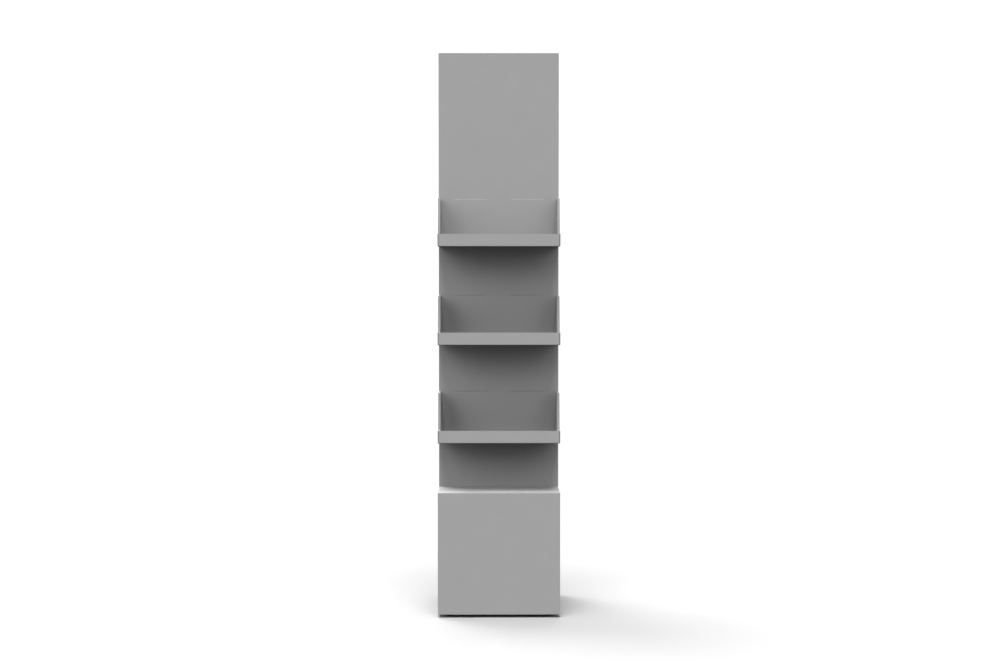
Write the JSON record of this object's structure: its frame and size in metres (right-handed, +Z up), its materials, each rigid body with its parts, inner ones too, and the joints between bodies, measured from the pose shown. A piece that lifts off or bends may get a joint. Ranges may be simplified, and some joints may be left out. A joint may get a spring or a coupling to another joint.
{
  "type": "cardboard display stand",
  "caption": "Folded cardboard floor stand: a square base on a recessed foot, a tall column with a plain header, and shallow open trays hung on its front.",
  "frame": {"origin": "on the floor, under the middle of the stand's square footprint", "axes": "+Z up along the column, +Y from the trays to the back of the column, +X to the right seen from the front"},
  "size_m": [0.4, 0.4, 1.855],
  "materials": {
    "faced_board": "corrugated board with a smooth unprinted pale grey liner",
    "inner_board": "corrugated board with a rough grey recycled liner",
    "laminated_board": "layers of corrugated board glued flat on each other, with raw cut edges"
  },
  "bodies": {
    "root": {"foot_frame": "laminated_board", "base_tray": "inner_board", "base_divider_left": "inner_board", "base_divider_right": "inner_board", "base_divider_cross": "inner_board", "base_cover": "faced_board", "column_collar": "inner_board", "column_sleeve": "faced_board", "column_cap": "faced_board", "column_brace_bottom": "inner_board", "column_brace_middle": "inner_board", "column_brace_top": "inner_board", "tray_bottom": "faced_board", "tray_middle": "faced_board", "tray_top": "faced_board"}
  },
  "joints": []
}
